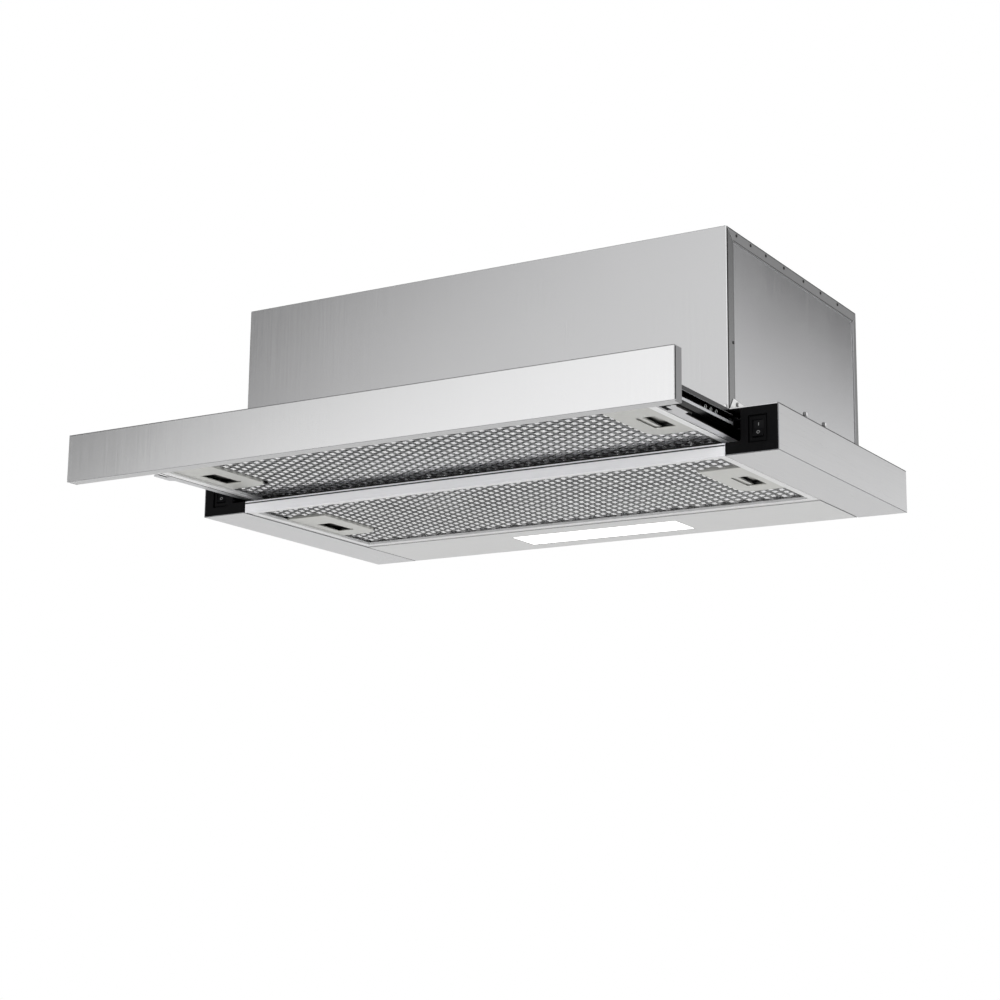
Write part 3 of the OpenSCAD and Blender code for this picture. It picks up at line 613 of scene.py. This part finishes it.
def expanded_layer(verts, faces, looks, low, high, z, layer, rng):
    """One sheet of expanded metal: zigzag strands, row by row, that meet at their knuckles."""
    half_y = SHORT_WAY / 2
    step = LONG_WAY / 2 / layer.steps
    too_close = step / 9
    inner = range(math.ceil(low.x / step), math.ceil(high.x / step))
    columns = [low.x] + [i * step for i in inner if i * step > low.x + too_close] + [high.x]
    for row in range(math.floor(low.y / half_y) - 1, math.ceil(high.y / half_y) + 1):
        rings = []
        for x in columns:
            ring, knuckle = strand_ring(x, row, z, layer, rng)
            if low.y <= (ring[0].y + ring[2].y) / 2 <= high.y:
                for corner in ring:
                    corner.y = min(max(corner.y, low.y), high.y)
                rings.append((ring, knuckle))
            else:
                add_strand(verts, faces, looks, rings, layer)
                rings = []
        add_strand(verts, faces, looks, rings, layer)


def filter_mesh(prefix, body):
    """The expanded pack of one cassette, in two layers round its two latch plates."""
    rng = random.Random(MESH_SEED)
    low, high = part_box(prefix + "_filter_mesh")
    plate_low, plate_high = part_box(prefix + "_latch_plates")
    inner_x = min(abs(v.co.x) for v in nodes[prefix + "_latch_plates"].data.vertices)
    zones = [(Vector((-inner_x, low.y)), Vector((inner_x, high.y)))]
    for side in (-1, 1):
        near, far = sorted((side * inner_x, side * high.x))
        zones.append((Vector((near, low.y)), Vector((far, plate_low.y))))
        zones.append((Vector((near, plate_high.y)), Vector((far, high.y))))
    verts, faces, looks = [], [], []
    for layer in LAYERS:
        for start, end in zones:
            expanded_layer(verts, faces, looks, start, end, low.z + layer.height, layer, rng)
    mesh = bpy.data.meshes.new(prefix + "_mesh_strands")
    mesh.from_pydata(verts, [], faces)
    new_piece(prefix + "_mesh_strands", mesh, MESH_MATERIALS, body, "filter_mesh",
              prefix + "_filter_mesh")
    mesh.polygons.foreach_set("material_index", looks)


filter_mesh("front", "drawer")
filter_mesh("rear", "hood")


# ---------------------------------------------------------------- formed and moulded parts

softened("housing_front", HOUSING_FRONT, 0.4, FRONT_FOLD_HIGHLIGHT)
for name in both("housing_side"):
    softened(name, HOUSING, 0.25, HOUSING_FOLD_SHADE)
softened("housing_back", HOUSING_RIM, 0.25, HOUSING_FOLD_SHADE)
softened("housing_top", HOUSING_TOP, 0.25, HOUSING_FOLD_SHADE)
softened("housing_brackets", BRACKET, 0.2)

softened("canopy_top", CANOPY, 0.45, CANOPY_FOLD_SHADE)
for name in both("canopy_side"):
    softened(name, CANOPY_SIDE, 0.45, CANOPY_FOLD_SHADE)
softened("light_panel", LIGHT_PANEL, 0.3, CANOPY_FOLD_SHADE)
softened("led_diffuser", OPAL, 0.3)
softened("front_crossbar", CROSSBAR, 0.3, CROSSBAR_EDGE)

softened("drawer_front", PANEL, 0.3, PANEL_FOLD_SHADE)
for name in both("drawer_end_cap"):
    softened(name, END_CAP, 0.2)
for name in both("drawer_side"):
    softened(name, LEDGE, 0.2)

softened("front_filter_frame", FRONT_FRAME, 0.3, FRAME_EDGE)
softened("rear_filter_frame", FRAME, 0.3, FRAME_EDGE)
for name in ("front_latch_plates", "rear_latch_plates"):
    softened(name, PLATE, 0.25)

for name in both("control_block"):
    softened(name, BLACK, 0.4)
for name in both("switch_body"):
    softened(name, BLACK, 0.35)
for name in both("rocker"):
    softened(name, ROCKER, 0.35, segments=3)

PAINT = {
    GALVANISED: ("drawer_cover", "drawer_rear_bar", "scroll_wrap", "scroll_sides",
                 "motor_bracket"),
    RAIL: (*both("slide_bracket"), *both("slide_rail")),
    SLIDE: both("slide_channel"),
    BALLS: both("ball_cage"),
    LATCH: (*both("front_latch"), *both("rear_latch")),
    RIVET: ("housing_rivets",),
    SCREW: ("housing_screws",),
    ZINC: ("motor_shaft",),
    BOARD: ("led_board",),
    WHITE: ("led_driver", "motor_capacitor"),
    BLACK: ("terminal_box", "cable_gland", "duct_collar"),
    GREY: ("flap_front", "flap_rear", "impeller"),
    MOTOR: ("motor_body",),
}
for material, names in PAINT.items():
    for name in names:
        painted(name, material)


# ---------------------------------------------------------------- burrs on the drawer slides

# Thickness of a channel's web
WEB = 1.2 * MM
# Distance of the three holes from the channel's rear end, and their height above its underside
HOLE_PLACES = (90 * MM, 100 * MM, 110 * MM)
HOLE_HEIGHT = 12.7 * MM
# Radius at which a burr sits, the burr's own radius, and its facets round the hole and round
# its own section
HOLE_RADIUS = 1.75 * MM
BURR_RADIUS = 0.3 * MM
BURR_SIDES = 24
BURR_ROLL = 8


def hole_burrs(side, sign):
    """Rounded burrs round the three holes in the web of a slide channel."""
    low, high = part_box("slide_channel_" + side)
    web = (low.x if sign > 0 else high.x) + sign * WEB
    verts, faces = [], []
    for from_end in HOLE_PLACES:
        first = len(verts)
        for i in range(BURR_SIDES):
            turn = 2 * math.pi * i / BURR_SIDES
            for j in range(BURR_ROLL):
                roll = 2 * math.pi * j / BURR_ROLL
                reach = HOLE_RADIUS + BURR_RADIUS * math.cos(roll)
                verts.append((web + BURR_RADIUS * math.sin(roll),
                              high.y - from_end + reach * math.cos(turn),
                              low.z + HOLE_HEIGHT + reach * math.sin(turn)))
        for i in range(BURR_SIDES):
            for j in range(BURR_ROLL):
                a, b = i * BURR_ROLL, (i + 1) % BURR_SIDES * BURR_ROLL
                k = (j + 1) % BURR_ROLL
                faces.append([first + v for v in (a + j, b + j, b + k, a + k)])
    mesh = bpy.data.meshes.new("slide_hole_burrs_" + side)
    mesh.from_pydata(verts, [], faces)
    mesh.shade_smooth()
    new_piece("slide_hole_burrs_" + side, mesh, [BURR], "drawer", "slide_steel")


hole_burrs("left", -1)
hole_burrs("right", 1)


# ---------------------------------------------------------------- switch marks

# How far a mark stands proud, and the width of its stroke
MARK_HEIGHT = 0.1 * MM
MARK_WIDTH = 0.5 * MM
BAR_LENGTH = 2.6 * MM
RING_RADIUS = 1.25 * MM
RING_SIDES = 28


def raised(work, place, outline):
    """The vertices of an outline on a rocker's face, and of the same outline lifted off it."""
    return [[work.verts.new(place @ Vector((x, y, lift))) for x, y in outline]
            for lift in (0, MARK_HEIGHT)]


def add_bar(work, place):
    """The I: a flat bar."""
    x, y = MARK_WIDTH / 2, BAR_LENGTH / 2
    low, top = raised(work, place, [(-x, -y), (x, -y), (x, y), (-x, y)])
    work.faces.new(low[::-1])
    work.faces.new(top)
    for i in range(4):
        j = (i + 1) % 4
        work.faces.new((low[i], low[j], top[j], top[i]))


def add_ring(work, place):
    """The O: a flat ring."""
    turns = [2 * math.pi * i / RING_SIDES for i in range(RING_SIDES)]
    circles = [[(radius * math.cos(turn), radius * math.sin(turn)) for turn in turns]
               for radius in (RING_RADIUS + MARK_WIDTH / 2, RING_RADIUS - MARK_WIDTH / 2)]
    (low_out, top_out), (low_in, top_in) = [raised(work, place, circle) for circle in circles]
    walls = ((low_out, top_out), (top_out, top_in), (top_in, low_in), (low_in, low_out))
    for i in range(RING_SIDES):
        j = (i + 1) % RING_SIDES
        for a, b in walls:
            work.faces.new((a[i], a[j], b[j], b[i]))


def rocker_face(name, sign):
    """Place of the largest front face above (1) or below (-1) the middle of a rocker."""
    mesh = nodes[name].data
    low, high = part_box(name)
    middle = (low.z + high.z) / 2
    faces = [f for f in mesh.polygons
             if f.normal.y < -TURN_FULL and sign * (f.center.z - middle) > MM]
    face = max(faces, key=lambda f: f.area)
    up = Vector((0, 0, 1)) - face.normal * face.normal.z
    up.normalize()
    turn = Matrix((up.cross(face.normal), up, face.normal)).transposed()
    corners = [mesh.vertices[i].co for i in face.vertices]
    centre = Vector([(min(v[i] for v in corners) + max(v[i] for v in corners)) / 2
                     for i in range(3)])
    return Matrix.Translation(centre) @ turn.to_4x4()


def switch_marks(side):
    """I on the upper face of a rocker and O on its lower face."""
    rocker = "rocker_" + side
    work = bmesh.new()
    add_bar(work, rocker_face(rocker, 1))
    add_ring(work, rocker_face(rocker, -1))
    bmesh.ops.recalc_face_normals(work, faces=work.faces)
    mesh = bpy.data.meshes.new("switch_marks_" + side)
    work.to_mesh(mesh)
    work.free()
    new_piece("switch_marks_" + side, mesh, [MARK], rocker, "rocker_plastic")


switch_marks("left")
switch_marks("right")


# ---------------------------------------------------------------- floor, light and camera

# How far the floor lies below the hood, its radius and its number of sides
FLOOR_DROP = 0.75
FLOOR_RADIUS = 5.5
FLOOR_SIDES = 64


@dataclass
class Flag:
    """A soft dark patch of the studio, with the cosines at which it begins and is complete."""
    direction: tuple
    edge: float
    core: float


FLAGS = (
    Flag((-0.705, -0.356, 0.613), edge=0.824, core=0.876),
    Flag((0.166, 0.85, 0.499), edge=0.944, core=0.962),
)


def add_floor():
    """A plain pale floor well below the hood."""
    mesh = bpy.data.meshes.new("floor")
    work = bmesh.new()
    bmesh.ops.create_circle(work, cap_ends=True, segments=FLOOR_SIDES, radius=FLOOR_RADIUS)
    work.to_mesh(mesh)
    work.free()
    mesh.materials.append(plain_floor("pale_floor"))
    floor = bpy.data.objects.new("floor", mesh)
    floor.location = (0, 0, CAD_BOX[0][2] - FLOOR_DROP)
    scene.collection.objects.link(floor)


def add_area(name, place, target, size, power, spread=180):
    """A soft rectangular light aimed at a point, its beam narrowed to a spread in degrees."""
    light = bpy.data.lights.new(name, "AREA")
    light.shape = "RECTANGLE"
    light.size, light.size_y = size
    light.energy = power
    light.spread = math.radians(spread)
    lamp = bpy.data.objects.new(name, light)
    lamp.location = place
    lamp.rotation_euler = (Vector(target) - Vector(place)).to_track_quat("-Z", "Y").to_euler()
    scene.collection.objects.link(lamp)


def past_flag(tree, direction, flag):
    """How much of the light from a direction gets past one flag."""
    towards = tree.nodes.new("ShaderNodeVectorMath")
    towards.operation = "DOT_PRODUCT"
    towards.inputs[1].default_value = Vector(flag.direction).normalized()
    tree.links.new(direction, towards.inputs[0])
    ramp = tree.nodes.new("ShaderNodeMapRange")
    ramp.inputs["From Min"].default_value = flag.edge
    ramp.inputs["From Max"].default_value = flag.core
    ramp.inputs["To Min"].default_value = 1
    ramp.inputs["To Max"].default_value = 0
    tree.links.new(towards.outputs["Value"], ramp.inputs["Value"])
    return ramp.outputs["Result"]


def add_world():
    """White backdrop; the light it gives is flagged off at the upper left and behind."""
    world = bpy.data.worlds.new("studio")
    world.use_nodes = True
    tree = world.node_tree
    tree.nodes.clear()
    out = tree.nodes.new("ShaderNodeOutputWorld")
    backdrop = tree.nodes.new("ShaderNodeBackground")
    backdrop.inputs["Color"].default_value = (1, 1, 1, 1)
    fill = tree.nodes.new("ShaderNodeBackground")
    direction = tree.nodes.new("ShaderNodeTexCoord").outputs["Generated"]
    past_both = tree.nodes.new("ShaderNodeMath")
    past_both.operation = "MULTIPLY"
    for socket, flag in zip(past_both.inputs, FLAGS):
        tree.links.new(past_flag(tree, direction, flag), socket)
    tree.links.new(past_both.outputs["Value"], fill.inputs["Color"])
    path = tree.nodes.new("ShaderNodeLightPath")
    shown = tree.nodes.new("ShaderNodeMixShader")
    tree.links.new(path.outputs["Is Camera Ray"], shown.inputs["Fac"])
    tree.links.new(fill.outputs["Background"], shown.inputs[1])
    tree.links.new(backdrop.outputs["Background"], shown.inputs[2])
    tree.links.new(shown.outputs["Shader"], out.inputs["Surface"])
    scene.world = world


def add_camera(place, view, roll, lens):
    """A camera that looks along a direction, rolled by an angle in degrees."""
    data = bpy.data.cameras.new("camera")
    data.lens = lens
    data.sensor_width = 36
    camera = bpy.data.objects.new("camera", data)
    turn = Vector(view).to_track_quat("-Z", "Y").to_matrix()
    turn = turn @ Matrix.Rotation(math.radians(roll), 3, "Z")
    camera.matrix_world = Matrix.Translation(place) @ turn.to_4x4()
    scene.collection.objects.link(camera)
    scene.camera = camera


scene.view_settings.view_transform = "Standard"
add_world()
add_floor()
add_area("key", place=(-0.9, -2.2, 1.0), target=(0.0, -0.1, 0.0), size=(1.6, 1.6), power=1.5)
add_area("low_fill", place=(0.3, -1.6, -0.55), target=(0.0, 0.0, 0.0), size=(1.6, 0.3), power=1.2,
         spread=60)
# A long lens from low down, in front of the right-hand end
add_camera(place=(0.94806, -1.64273, -0.42129), view=(-0.51125, 0.835, 0.2045), roll=0.65, lens=73.5)
